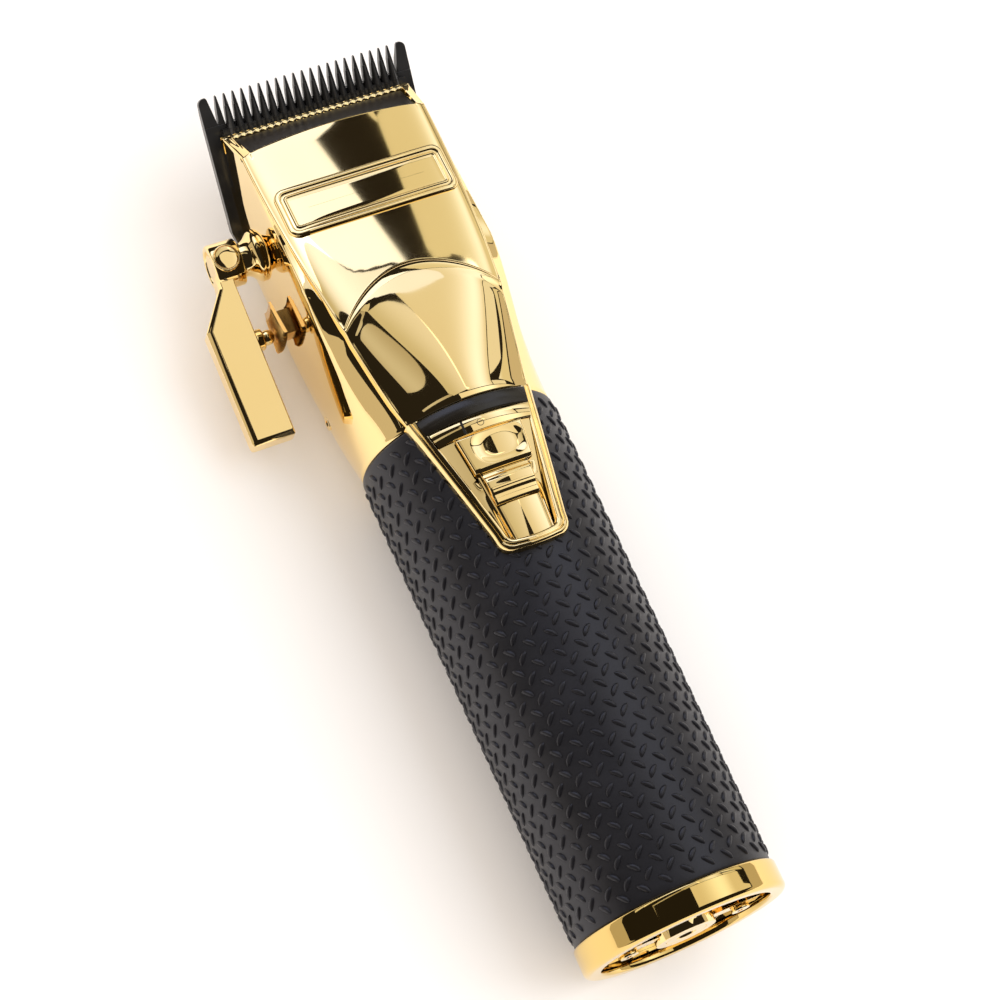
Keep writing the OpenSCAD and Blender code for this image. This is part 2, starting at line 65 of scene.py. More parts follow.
def span(node):
    low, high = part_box(node)
    return [value / MM for value in low], [value / MM for value in high]


BAND_LOW, BAND_HIGH = span("window_band")
BADGE_LOW, BADGE_HIGH = span("badge_plate")
BUSH_LOW, BUSH_HIGH = span("lever_bush")

RING_R, RING_LEN, _ = span("end_ring")[1]
GRIP_BASE, GRIP_TOP = [corner[1] for corner in span("grip_sleeve")]
GRIP_INNER_R = 18.6
PANEL_BASE = 73.5         # lower end of the switch panel
NECK_Y = GRIP_TOP + 0.2   # where the head starts, just clear of the grip
NECK_R = 20.0
ARCH_Y = 137.0            # top of the arch between the barrel and the face
SHOULDER_Y = 172.5
HEAD_HALF = 20.0
HEAD_DEPTH = 21.1
HEEL_Z = -20.9
COVER_EDGE = 0.4          # radius of the cover's rounded edge
COVER_FLARE = 1.035       # how much wider the cover is at the lip than at the shoulder
BLADE_TILT = math.radians(41)
TIP_Y, TIP_Z = 188.2, 12.2
BLADE_HALF = span("fixed_blade")[1][0]
BLADE_LEN = 32.0
BLADE_T = 2.2
TOOTH_COUNT, TOOTH_PITCH = 21, 1.88
PIVOT_Y = (BUSH_LOW[1] + BUSH_HIGH[1]) / 2
PIVOT_Z = (BUSH_LOW[2] + BUSH_HIGH[2]) / 2
LEVER_TILT = math.radians(9.5)

# Corners of the head's end round the blades, as (u, n) of in_blade
CUTTER_SEAT_U, HEEL_STEP_U, HEEL_END_U = -18.8, -34.2, -47.9
LIP_N, SEAT_N, HEEL_N = 2.5, 0.15, -2.2

# Angles round the rear shell: cover edge, top corner of the side, start of the underside
EDGE_ANGLE, CORNER_ANGLE, UNDER_ANGLE = 50.6, 30.0, -14.0


def lerp(a, b, t):
    return a + (b - a) * t


def clamp(t):
    return max(0.0, min(1.0, t))


def smooth(t):
    t = clamp(t)
    return t * t * (3 - 2 * t)


# ---------- materials ----------

def finish(name, light, dark, metallic, rough, grain, bump=0.0, coat=0.0, specular=0.5):
    """A procedural surface: two tones, a roughness range and a fine relief, all from noise."""
    low_noise, high_noise = 0.3, 0.7
    mat = bpy.data.materials.new(name)
    mat.use_nodes = True
    nodes, links = mat.node_tree.nodes, mat.node_tree.links
    shader = nodes["Principled BSDF"]
    shader.inputs["Metallic"].default_value = metallic
    shader.inputs["Coat Weight"].default_value = coat
    shader.inputs["Coat Roughness"].default_value = 0.06
    shader.inputs["Specular IOR Level"].default_value = specular
    place = nodes.new("ShaderNodeTexCoord")
    noise = nodes.new("ShaderNodeTexNoise")
    noise.inputs["Scale"].default_value = grain
    noise.inputs["Detail"].default_value = 4.0
    links.new(place.outputs["Object"], noise.inputs["Vector"])
    ramp = nodes.new("ShaderNodeValToRGB")
    ramp.color_ramp.elements[0].position = low_noise
    ramp.color_ramp.elements[0].color = (*dark, 1.0)
    ramp.color_ramp.elements[1].position = high_noise
    ramp.color_ramp.elements[1].color = (*light, 1.0)
    links.new(noise.outputs["Fac"], ramp.inputs["Fac"])
    links.new(ramp.outputs["Color"], shader.inputs["Base Color"])
    wear = nodes.new("ShaderNodeMapRange")
    wear.inputs["From Min"].default_value = low_noise
    wear.inputs["From Max"].default_value = high_noise
    wear.inputs["To Min"].default_value = rough[0]
    wear.inputs["To Max"].default_value = rough[1]
    links.new(noise.outputs["Fac"], wear.inputs["Value"])
    links.new(wear.outputs["Result"], shader.inputs["Roughness"])
    if bump:
        fine = nodes.new("ShaderNodeTexNoise")
        fine.inputs["Scale"].default_value = 900.0
        fine.inputs["Detail"].default_value = 6.0
        links.new(place.outputs["Object"], fine.inputs["Vector"])
        relief = nodes.new("ShaderNodeBump")
        relief.inputs["Strength"].default_value = bump
        relief.inputs["Distance"].default_value = 0.0002
        links.new(fine.outputs["Fac"], relief.inputs["Height"])
        links.new(relief.outputs["Normal"], shader.inputs["Normal"])
    return mat


GOLD = finish("polished_gold", (1.0, 0.77, 0.37), (0.98, 0.74, 0.34), 1.0, (0.015, 0.03), 35.0)
# darker amber gold with painted shade, standing in for the shade on the click plate
SHADED_GOLD = finish("painted_shade_gold", (0.8, 0.5, 0.17), (0.62, 0.36, 0.11), 1.0, (0.14, 0.24), 80.0)
# darker gold for the end ring: painted reflection of the shaded floor next to it
RING_SHADED_GOLD = finish("ring_painted_reflection_gold", (0.84, 0.61, 0.23), (0.78, 0.56, 0.2), 1.0, (0.02, 0.04), 35.0)
RUBBER = finish("grip_rubber", (0.0112, 0.0108, 0.0134), (0.008, 0.0078, 0.0098), 0.0, (0.36, 0.45),
                120.0, 0.1)
rubber_shader = RUBBER.node_tree.nodes["Principled BSDF"]
rubber_shader.inputs["Specular Tint"].default_value = (0.91, 0.91, 1.0, 1.0)
BLACK = finish("black_blade", (0.022, 0.021, 0.021), (0.012, 0.012, 0.012), 0.0, (0.28, 0.38),
               150.0, 0.05, coat=0.25)
LENS = finish("dark_lens", (0.013, 0.01, 0.006), (0.007, 0.0055, 0.004), 0.0, (0.22, 0.3),
              90.0, coat=0.12, specular=0.35)
PLASTIC = finish("black_plastic", (0.03, 0.03, 0.032), (0.018, 0.018, 0.02), 0.0, (0.4, 0.55),
                 200.0, 0.08)
GREY = finish("grey_plastic", (0.22, 0.22, 0.23), (0.16, 0.16, 0.17), 0.0, (0.4, 0.55), 200.0, 0.08)
WHITE = finish("white_plastic", (0.82, 0.82, 0.8), (0.72, 0.72, 0.7), 0.0, (0.35, 0.5), 200.0, 0.05)
STEEL = finish("bright_steel", (0.72, 0.73, 0.75), (0.58, 0.59, 0.61), 1.0, (0.18, 0.3), 250.0,
               0.05)
MAGNET = finish("magnet_grey", (0.16, 0.16, 0.17), (0.1, 0.1, 0.11), 0.7, (0.35, 0.5), 250.0, 0.1)
BRONZE = finish("bronze", (0.6, 0.38, 0.2), (0.48, 0.29, 0.14), 1.0, (0.28, 0.42), 200.0, 0.08)
COPPER = finish("copper_winding", (0.72, 0.34, 0.17), (0.5, 0.21, 0.1), 1.0, (0.25, 0.4), 400.0,
                0.2)
TUBE = finish("tube_aluminium", (0.62, 0.63, 0.65), (0.52, 0.53, 0.55), 1.0, (0.3, 0.42), 200.0,
              0.06)
CELL = finish("cell_wrap", (0.04, 0.12, 0.42), (0.03, 0.09, 0.34), 0.0, (0.25, 0.35), 60.0, 0.03,
              coat=0.4)
BOARD = finish("board_green", (0.02, 0.16, 0.06), (0.012, 0.11, 0.04), 0.0, (0.3, 0.45), 300.0,
               0.05)
LED = finish("led_clear", (0.85, 0.88, 0.9), (0.7, 0.75, 0.8), 0.0, (0.1, 0.2), 200.0)
# near-black sheet over the slope's trough: painted reflection of the black cutter in the gold
DARK_REFLECTION = finish("painted_dark_reflection", (0.012, 0.0065, 0.0035), (0.007, 0.004, 0.002), 0.0, (0.3, 0.4),
               90.0, specular=0.2)
INK = finish("mark_ink", (0.02, 0.018, 0.016), (0.01, 0.009, 0.008), 0.0, (0.3, 0.45), 300.0)

SLOT_FINISH = {
    "polished_gold": GOLD, "grip_rubber": RUBBER, "black_blade": BLACK, "dark_lens": LENS,
    "black_plastic": PLASTIC, "grey_plastic": GREY, "white_plastic": WHITE,
    "bright_steel": STEEL, "magnet_grey": MAGNET, "bronze": BRONZE, "copper_winding": COPPER,
    "tube_aluminium": TUBE, "cell_wrap": CELL, "board_green": BOARD, "led_clear": LED,
}


# ---------- mesh helpers ----------

def piece(name, sheet, mat, slot, body="root", nodes=(), sharp=40.0, bevel=0.0, thick=0.0):
    """One visible piece from a Sheet in millimetres. It rides on body and stands for nodes."""
    mesh = bpy.data.meshes.new(name)
    mesh.from_pydata([(x * MM, y * MM, z * MM) for x, y, z in sheet.points], [], sheet.faces)
    work = bmesh.new()
    work.from_mesh(mesh)
    bmesh.ops.remove_doubles(work, verts=work.verts, dist=0.000002)
    bmesh.ops.recalc_face_normals(work, faces=work.faces)
    work.to_mesh(mesh)
    work.free()
    mesh.materials.append(mat)
    for poly in mesh.polygons:
        poly.use_smooth = True
    mesh.set_sharp_from_angle(angle=math.radians(sharp))
    item = bpy.data.objects.new(name, mesh)
    bpy.context.scene.collection.objects.link(item)
    if thick:
        wall = item.modifiers.new("wall", "SOLIDIFY")
        wall.thickness = thick * MM
        wall.offset = -1.0
    if bevel:
        soften(item, bevel)
    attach(item, body)
    if nodes:
        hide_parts(*nodes)


def soften(item, width, weld=False):
    """Rounds the sharp edges of a piece; a CAD node is welded first."""
    if weld:
        join = item.modifiers.new("weld", "WELD")
        join.merge_threshold = 0.00001
    edge = item.modifiers.new("edge", "BEVEL")
    edge.width = width * MM
    edge.segments = 2
    edge.limit_method = "ANGLE"
    edge.angle_limit = math.radians(35)
    edge.harden_normals = True


class Sheet:
    """Collects points and faces of several grids into one mesh."""

    def __init__(self, rows=None, wrap=False):
        self.points = []
        self.faces = []
        if rows:
            self.grid(rows, wrap)

    def grid(self, rows, wrap=False, keep=None):
        """Joins rows of points with quads; keep may leave out a quad by its corners."""
        base = len(self.points)
        width = len(rows[0])
        for row in rows:
            self.points.extend(row)
        for r in range(len(rows) - 1):
            for c in range(width if wrap else width - 1):
                d = (c + 1) % width
                quad = (base + r * width + c, base + r * width + d,
                        base + (r + 1) * width + d, base + (r + 1) * width + c)
                if keep is None or keep([self.points[i] for i in quad]):
                    self.faces.append(quad)

    def cap(self, row):
        base = len(self.points)
        self.points.extend(row)
        self.faces.append(tuple(range(base, base + len(row))))


def turned(profile, count, place):
    """Rows of a lathed profile of (along, radius); place turns (along, a, b) into a point."""
    rows = []
    for along_axis, radius in profile:
        rows.append([place(along_axis, radius * math.cos(2 * math.pi * i / count),
                           radius * math.sin(2 * math.pi * i / count)) for i in range(count)])
    return rows


def on_y(s, a, b):
    return (a, s, b)


def in_lever(s, a, b):
    """A point of the lever's own frame, s along x, a along y and b along z."""
    y = a * math.cos(LEVER_TILT) - b * math.sin(LEVER_TILT)
    z = a * math.sin(LEVER_TILT) + b * math.cos(LEVER_TILT)
    return (s, PIVOT_Y + y, PIVOT_Z + z)


def in_blade(x, u, n):
    """A point of the blade's own frame: u along it, zero at the tips, and n away from its face."""
    return (x, TIP_Y + u * math.cos(BLADE_TILT) - n * math.sin(BLADE_TILT),
            TIP_Z + u * math.sin(BLADE_TILT) + n * math.cos(BLADE_TILT))


# ---------- the head's shape ----------

LIP_Y, LIP_Z = in_blade(0, -7.9, 2.5)[1:]


def along(y):
    """0 at the neck, 1 at the shoulder."""
    return clamp((y - NECK_Y) / (SHOULDER_Y - NECK_Y))


def cover_half(y):
    left = 1 - along(y)
    return lerp(12.6, 19.75, 1 - left * left)


def arch(x):
    return ARCH_Y - 0.035 * x * x


def shoulder(x):
    return 173.2 - 0.0045 * x * x


def face_z(x, y):
    """Height of the front cover: flat across the middle, rolling off at the sides, with the
    round barrel standing a little proud below the arch."""
    a = along(y)
    below = arch(x) - y
    power = 2 + 10 * a ** lerp(1.15, 1.6, clamp(below / 3))
    high = lerp(20, 15, a) + 1.1 * (1 - 0.6 * a)
    wide = 20.55
    face_end, face_len, face_rise = 173, 36, 0.6
    barrel_rise, barrel_blend = 1.3, 0.9
    z = high * (1 - min(0.98, (abs(x) / wide) ** power)) ** (1 / power)
    if below <= 0:
        return z + face_rise * clamp((face_end - y) / face_len)
    foot = (y - NECK_Y) / (arch(x) - NECK_Y)
    rise = barrel_rise * foot * (1 - math.exp(-below / barrel_blend))
    rise *= 1 - 0.35 * (x / cover_half(y)) ** 2
    return z + rise + face_rise * foot * (face_end - arch(x)) / face_len


def cover_edge_z(y):
    """Height of the cover where its rounded edge begins."""
    return face_z(cover_half(y) - COVER_EDGE, y)


def cover_line(s):
    """The path of one line of the cover, from the switch panel over the shoulder to the lip.
    s is -1 to 1 across the face; up to 2 it goes round the edge, and to 3 down the side."""
    edge = COVER_EDGE
    skirt = 1.8
    turn = max(0.0, abs(s) - 1)
    side = math.copysign(1, s)

    def at(y):
        half = cover_half(y)
        if turn == 0:
            return s * (half - edge), 0.0
        if turn <= 1:
            angle = turn * math.pi / 2
            return side * (half - edge + edge * math.sin(angle)), edge * (1 - math.cos(angle))
        return side * half, edge + (turn - 1) * skirt

    def spot(y):
        x, drop = at(y)
        half = cover_half(y) - edge
        return x, y, face_z(max(-half, min(half, x)), y) - drop

    # Where this line crosses the arch, found by a few rounds because its x depends on y
    arch_half = 18.0
    crease = ARCH_Y
    for _ in range(6):
        x = at(crease)[0]
        crease = arch(max(-arch_half, min(arch_half, x)))
    line = []
    x, y, z = spot(NECK_Y + 0.1)
    line.append((x, y, z - 1.6))
    line.append((x, y, z - 0.35))
    line.append((x, y + 0.1, z - 0.1))
    barrel = face = 26
    for i in range(barrel):
        t = i / barrel
        line.append(spot(lerp(NECK_Y + 0.45, crease - 0.2, 1 - (1 - t) ** 1.6)))
    line.append(spot(crease - 0.2))
    line.append(spot(crease))
    line.append(spot(crease + 0.25))
    edge_y = shoulder(at(SHOULDER_Y)[0])
    for i in range(1, face + 1):
        line.append(spot(lerp(crease + 0.25, edge_y - 0.35, i / face)))
    x, y, z = spot(edge_y - 0.35)

    # The slope from the shoulder to the lip, with the beaded rope along its end
    top = Vector((x, edge_y - 0.1, z - 0.02))
    drop = at(edge_y)[1]
    end = Vector((x * COVER_FLARE, LIP_Y, LIP_Z - min(drop, 0.3)))
    down = end - top
    length = down.length
    down.normalize()
    out = Vector((0, -down.z, down.y)).normalized()
    trough_half = 17.6
    ear = smooth((abs(x) - trough_half) / 0.3)
    bead = 0.16 * math.exp(-((abs(x) - trough_half - 0.4) / 0.16) ** 2)
    rope_at = length - 1.9
    rope_pitch, rope_depth = 1.45, 0.17
    path = [(0.0, 0.0), (0.16, -0.04), (0.28, -0.14), (0.36, -0.42), (0.5, -0.5)]
    path += [(lerp(0.5, rope_at - 0.2, t / 5), lerp(-0.5, -0.9, t / 5)) for t in range(1, 6)]
    path += [(rope_at - 0.08, -0.8), (rope_at, -0.3), (rope_at + 0.15, 0.0), (rope_at + 0.4, 0.12),
             (rope_at + 0.7, 0.18), (rope_at + 1.0, 0.18), (rope_at + 1.3, 0.12),
             (rope_at + 1.6, -0.05), (rope_at + 1.78, -0.25), (length, -0.6)]
    # a dark sheet along the trough, a painted reflection of the black cutter
    reflection_sheet = [tuple(top + down * lerp(0.4, rope_at - 0.06, t / 6) + out * lerp(-0.3, -0.55, t / 6))
             for t in range(7)]
    for far, height in path:
        rope = 0.0
        if far >= rope_at:
            twist = x - (far - length) * 0.9
            rope = rope_depth * math.cos(2 * math.pi * twist / rope_pitch) - 0.08
        if far < rope_at + 0.3:
            height = lerp(height, bead, ear)
        line.append(tuple(top + down * far + out * (height + rope * (1 - ear))))
    line += [in_blade(x * COVER_FLARE, u, 2.25) for u in (-8.1, -11.5)]
    return line, reflection_sheet


def cover_piece():
    edge_steps = [1.1, 1.3, 1.55, 1.8, 2.0, 2.5, 3]
    middle = 170
    steps = [-step for step in reversed(edge_steps)]
    steps += [-1 + 2 * i / middle for i in range(middle + 1)]
    steps += edge_steps
    lines = [cover_line(s) for s in steps]
    piece("cover_shell", Sheet([line for line, _ in lines]), GOLD, "polished_gold",
          nodes=("front_housing",), sharp=62)
    # the dark sheet over the trough is a painted reflection of the black cutter
    reflection_sheet_half = 17.75
    reflection_sheets = [reflection_sheet for _, reflection_sheet in lines if abs(reflection_sheet[0][0]) < reflection_sheet_half]
    piece("slope_painted_reflection", Sheet(reflection_sheets), DARK_REFLECTION, "black_blade", sharp=62)


def side_end(z):
    """Where the head ends at each height, seen from the side."""
    knots = [(LIP_Z + 4.6, SHOULDER_Y - 0.6), (LIP_Z, LIP_Y)]
    for u, n in ((CUTTER_SEAT_U, LIP_N), (CUTTER_SEAT_U, SEAT_N), (HEEL_STEP_U, SEAT_N),
                 (HEEL_STEP_U, HEEL_N), (HEEL_END_U, HEEL_N)):
        _, y, height = in_blade(0, u, n)
        knots.append((height, y))
    if z >= knots[0][0]:
        return knots[0][1]
    for (z0, y0), (z1, y1) in zip(knots, knots[1:]):
        if z >= z1:
            return lerp(y0, y1, (z0 - z) / (z0 - z1))
    return knots[-1][1]


def underside(y):
    """Power, depth and half width of the superellipse that the underside follows."""
    power = 2 + 3.5 * clamp((y - NECK_Y) / 35)
    depth = lerp(NECK_R, HEAD_DEPTH, smooth((y - NECK_Y) / 12))
    return power, depth, HEAD_HALF + 0.5 * along(y)


def wall_x(y, z):
    """Half width of the rear shell: as a drafted flat side, and as the underside's curve."""
    flat = HEAD_HALF + along(y) * lerp(-0.15, 0.6, (13 - z) / 15)
    power, depth, wide = underside(y)
    full = wide * (1 - min(0.999, (abs(min(z, 0)) / depth) ** power)) ** (1 / power)
    return flat, full


def side_corner(y):
    """Top of the flat side: it follows the cover, then drops towards the grip."""
    apex_y, foot_y, foot_z = 139, 106, 10.0
    drop = 1.35
    if y >= apex_y:
        return cover_edge_z(y) - drop
    return lerp(foot_z, cover_edge_z(apex_y) - drop, clamp((y - foot_y) / (apex_y - foot_y)))


# Heights of the lines along the side; two of them meet corners of the head's end
UNDER_Z = -6.0
SIDE_STEPS = [11.2, LIP_Z, 7.0, 5.0, 3.2, in_blade(0, CUTTER_SEAT_U, LIP_N)[2],
              in_blade(0, CUTTER_SEAT_U, SEAT_N)[2], -2.0, -4.0, UNDER_Z]
BOTTOM_STEPS = 26


def rear_lines():
    """Lines along the left half of the rear shell, from the cover's edge to the middle of the
    underside. Each gives x, z and an angle round the neck for a y."""
    def strip(t, nudge=0.0):
        def line(y):
            edge_x = -cover_half(y) - 0.06
            edge_z = cover_edge_z(y) - lerp(1.3, 0.5, along(y))
            corner_z = side_corner(y)
            corner_x = -wall_x(y, corner_z)[0]
            return (lerp(edge_x, corner_x, t), lerp(edge_z, corner_z, t) + nudge,
                    lerp(EDGE_ANGLE, CORNER_ANGLE, t))
        return line

    def wall(z, i):
        def line(y):
            top = side_corner(y)
            height = min(z, top - 0.3 - 0.02 * (len(SIDE_STEPS) - i))
            return (-wall_x(y, height)[0], height,
                    lerp(CORNER_ANGLE - 1.0, UNDER_ANGLE, (i + 1) / len(SIDE_STEPS)))
        return line

    def under(i):
        def line(y):
            power, depth, wide = underside(y)
            start = math.asin(min(1.0, (abs(UNDER_Z) / depth) ** (power / 2)))
            angle = lerp(start, math.pi / 2, i / BOTTOM_STEPS)
            x = -wide * abs(math.cos(angle)) ** (2 / power)
            z = -depth * abs(math.sin(angle)) ** (2 / power)
            return x, z, lerp(UNDER_ANGLE, -90.0, i / BOTTOM_STEPS)
        return line

    lines = [strip(t) for t in (0.0, 0.12, 0.3, 0.5, 0.7, 0.86)]
    lines += [strip(0.965, -0.03), strip(1.0, -0.16)]
    lines += [wall(z, i) for i, z in enumerate(SIDE_STEPS)]
    lines += [under(i) for i in range(1, BOTTOM_STEPS + 1)]
    return lines


def rear_piece():
    def spot(line, y):
        """A point of a line: the round neck turns into the head over the first 33 mm."""
        x, z, degrees = line(y)
        if degrees < UNDER_ANGLE:
            return x, y, max(HEEL_Z, z)
        angle = math.radians(degrees)
        t = smooth((y - NECK_Y) / 33)
        z = lerp(NECK_R * math.sin(angle), z, t)
        low = clamp((4 - z) / 8)
        return lerp(lerp(-NECK_R * math.cos(angle), x, t), -wall_x(y, z)[1], low), y, z

    left = []
    rows = 56
    for line in rear_lines():
        # The line's end is found by rounds, because its height there depends on y
        end = 170.0
        for _ in range(12):
            end = lerp(end, side_end(spot(line, end)[2]), 0.7)
        left.append([spot(line, lerp(NECK_Y, end, r / rows)) for r in range(rows + 1)])

    # The wall that closes the head behind the fixed blade, down to the heel
    ends = [column[-1] for column in left]
    step_z = in_blade(0, HEEL_STEP_U, SEAT_N)[2]
    across = 16
    closing = [[(lerp(x + 0.3, -x - 0.3, j / across), y - 0.05, z) for j in range(across + 1)]
               for x, y, z in ends if z < step_z + 0.01]
    piece("heel_wall", Sheet(closing), GOLD, "polished_gold")

    right = [[(-x, y, z) for x, y, z in column] for column in reversed(left[:-1])]
    piece("rear_shell", Sheet(left + right), GOLD, "polished_gold", nodes=("rear_housing",),
          sharp=50, thick=1.4)


# ---------- badge ----------

def badge_piece():
    """A plate with a double rim that follows the face; the profile is (inset, height)."""
    low, high, half = BADGE_LOW[1], BADGE_HIGH[1], BADGE_HIGH[0]
    corner_r = 2.2
    mid = (low + high) / 2
    tall = (high - low) / 2
    profile = [(0.0, -0.3), (0.02, 0.35), (0.12, 0.58), (0.3, 0.7), (0.6, 0.72), (0.95, 0.7),
               (1.12, 0.6), (1.2, 0.36), (1.35, 0.32), (1.6, 0.32), (1.75, 0.34), (1.85, 0.5),
               (2.0, 0.56), (2.15, 0.5), (2.25, 0.34), (2.4, 0.31), (3.2, 0.31), (4.2, 0.31),
               (5.1, 0.31), (tall - 0.02, 0.31)]
    rows = []
    for inset, height in profile:
        w, h = half - inset, tall - inset
        r = max(0.02, min(corner_r - inset * 0.75, h))
        row = []
        for cx, cy, first in ((w - r, h - r, 0), (-w + r, h - r, 90), (-w + r, -h + r, 180),
                              (w - r, -h + r, 270)):
            for i in range(9):
                angle = math.radians(first + i * 11.25)
                row.append((cx + r * math.cos(angle), cy + r * math.sin(angle)))
            if first in (0, 180):
                sign = 1 if first == 0 else -1
                for i in range(1, 40):
                    row.append((sign * lerp(w - r, -w + r, i / 40), sign * h))
        rows.append([(x, mid + y, face_z(x, mid + y) + height) for x, y in row])
    piece("badge", Sheet(rows, wrap=True), GOLD, "polished_gold", nodes=("badge_plate",),
          sharp=70)


# ---------- grip with its raised tread ----------

def panel_half(y):
    return lerp(6.7, 13.1, (y - PANEL_BASE) / (GRIP_TOP - PANEL_BASE))


def inside_panel(x, y, inset):
    return y > PANEL_BASE + inset and abs(x) < panel_half(y) - inset


def grip_radius(y):
    return lerp(20.1, 20.7, (y - GRIP_BASE) / (GRIP_TOP - GRIP_BASE))


def grip_piece():
    relief = 0.42
    profile = [(GRIP_BASE, GRIP_INNER_R), (GRIP_BASE, grip_radius(GRIP_BASE) - relief - 0.3),
               (GRIP_BASE + 0.1, grip_radius(GRIP_BASE) - relief - 0.1)]
    steps = 80
    for i in range(steps + 1):
        y = lerp(GRIP_BASE + 0.4, GRIP_TOP - 0.5, i / steps)
        profile.append((y, grip_radius(y) - relief))
    profile += [(GRIP_TOP - 0.12, grip_radius(GRIP_TOP) - relief - 0.12),
                (GRIP_TOP, grip_radius(GRIP_TOP) - relief - 0.45), (GRIP_TOP, GRIP_INNER_R)]

    def keep(corners):
        x = sum(c[0] for c in corners) / 4
        y = sum(c[1] for c in corners) / 4
        z = sum(c[2] for c in corners) / 4
        return not (z > 0 and inside_panel(x, y, 0.9))

    sheet = Sheet()
    sheet.grid(turned(profile, 160, on_y), wrap=True, keep=keep)

    # Lens-shaped marks in rings, with the lean and the place changing from ring to ring
    around, pitch, first_y, first_a = 29, 4.1, 7.9, math.radians(-39.4)
    half_len, half_wide, bend, foot = 1.5, 0.56, 0.22, 0.08
    tread_r, cos_45 = 20.3, 0.7071
    turns = 2 * math.pi / around
    edge_gap, panel_gap = 1.3, 1.2
    rows = int((GRIP_TOP - GRIP_BASE) / pitch * 2) + 1
    for r in range(rows):
        y0 = first_y + r * pitch / 2
        lean = 1 if r % 2 else -1
        if y0 < GRIP_BASE + edge_gap or y0 > GRIP_TOP - edge_gap:
            continue
        for k in range(around):
            a0 = first_a + (k + (0.5 if r % 2 else 0.0)) * turns
            x0 = tread_r * math.sin(a0)
            if math.cos(a0) > 0 and inside_panel(x0, y0, panel_gap):
                continue
            lens = []
            for i in range(11):
                p = -1 + i / 5
                width = half_wide * (1 - abs(p) ** 2.3) ** 0.75
                rise = relief * (1 - abs(p) ** 4)
                row = []
                for q in (-1, -0.9, -0.6, 0, 0.6, 0.9, 1):
                    s, t = p * half_len, q * width + bend * (1 - p * p)
                    y = y0 + (lean * s + t) * cos_45
                    radius = grip_radius(y) - relief - foot + (rise + foot) * (1 - q * q) ** 0.5
                    angle = a0 + (s - lean * t) * cos_45 / tread_r
                    row.append((radius * math.sin(angle), y, radius * math.cos(angle)))
                lens.append(row)
            sheet.grid(lens)
    piece("grip_tread", sheet, RUBBER, "grip_rubber", nodes=("grip_sleeve",), sharp=55)


# ---------- switch panel, light band and button ----------

def on_round(x, y, radius):
    return (x, y, math.sqrt(max(0.0, radius * radius - x * x)))


def on_panel(x, y, height):
    """The panel's own surfaces are flatter than the grip round them."""
    return (x, y, height - x * x / 56)


def panel_ring(inset, top, radius):
    """One line round the panel, down the left side, along the bottom and up the right."""
    r = max(0.4, 3.2 - inset * 0.6)
    side_inset = inset * 1.03
    bottom = PANEL_BASE + inset
    corner_y = bottom + r
    lean = math.atan2(panel_half(top) - panel_half(PANEL_BASE), top - PANEL_BASE)
    left = []
    for i in range(30):
        y = lerp(top, corner_y + 0.01, i / 30)
        left.append((-(panel_half(y) - side_inset), y))
    cx = panel_half(corner_y) - side_inset - r * math.cos(lean)
    for i in range(9):
        angle = math.pi + lean + (math.pi / 2 - lean) * i / 8
        left.append((-cx + r * math.cos(angle), corner_y + r * math.sin(angle)))
    points = list(left)
    for i in range(1, 12):
        x = lerp(-cx, cx, i / 12)
        points.append((x, bottom - 0.35 * (1 - (x / max(cx, 0.1)) ** 2)))
    points += [(-x, y) for x, y in reversed(left)]
    return [on_round(x, y, radius) for x, y in points]


def panel_pieces():
    top = GRIP_TOP + 0.15
    profile = [(0.0, 20.0), (0.02, 20.8), (0.1, 21.3), (0.24, 21.62), (0.45, 21.85), (0.7, 21.95),
               (0.92, 21.92), (1.02, 21.75), (1.1, 21.5), (1.2, 21.42), (1.35, 21.5), (1.9, 21.42),
               (2.15, 21.34), (2.25, 21.2), (2.32, 20.7), (2.42, 20.2)]
    sheet = Sheet([panel_ring(inset, top, radius) for inset, radius in profile])
    # Floor of the panel with the raised track that the button slides on
    rows = []
    for i in range(61):
        y = lerp(PANEL_BASE + 2.1, BAND_LOW[1] - 0.02, i / 60)
        half = panel_half(y) - 2.3
        track = min(half - 0.9, lerp(3.9, 5.6, (y - 76) / 22))
        row = []
        lean = 0.05 * (y - 90)
        for x, deep in ((-half, 20.1 + lean), (-half * 0.6 - track * 0.4, 20.15 + lean),
                        (-track - 0.5, 20.2 + lean), (-track - 0.4, 20.05), (-track - 0.2, 20.05),
                        (-track - 0.02, 20.5), (-track + 0.16, 20.62)):
            row.append(on_panel(x, y, deep))
        for j in range(1, 12):
            row.append(on_panel(lerp(-track + 0.16, track - 0.16, j / 12), y, 20.63))
        row += [(-x, yy, z) for x, yy, z in reversed(row[:7])]
        rows.append(row)
    sheet.grid(rows)
    piece("panel_frame", sheet, GOLD, "polished_gold",
          nodes=("switch_panel",), sharp=60)

    # Raised strip between the button and the light band
    low, high = BAND_LOW[1] - 3.2, BAND_LOW[1] - 0.15
    rows = []
    mid = (low + high) / 2
    for y, height in ((low, 20.4), (low, 21.0), (low + 0.12, 21.14), (low + 0.35, 21.22),
                      (mid, 21.3), (high - 0.35, 21.38), (high - 0.1, 21.3), (high, 21.1),
                      (high, 20.4)):
        half = panel_half(y) - 2.1
        rows.append([on_panel(lerp(-half, half, i / 40), y, height) for i in range(41)])
    piece("mark_strip", Sheet(rows), GOLD, "polished_gold", sharp=60)

    # A small dark ring on the strip and a slot beside it, both leaning with the strip
    strip_lean = 0.06
    rows = []
    for wide, lift in ((0.56, 21.23), (0.6, 21.33), (0.7, 21.33), (0.74, 21.23)):
        row = []
        for i in range(32):
            up = wide * math.sin(i * math.pi / 16)
            row.append(on_panel(-0.5 + wide * math.cos(i * math.pi / 16), mid + up,
                                lift + strip_lean * up))
        rows.append(row)
    sheet = Sheet(rows, wrap=True)
    sheet.grid([[on_panel(x, y, lift + strip_lean * (y - mid))
                 for y in (low + 0.25, mid, high - 0.25)]
                for x, lift in ((-4.25, 21.25), (-4.2, 21.36), (-3.75, 21.36), (-3.7, 21.25))])
    piece("mark_ring", sheet, INK, "black_plastic", sharp=60)


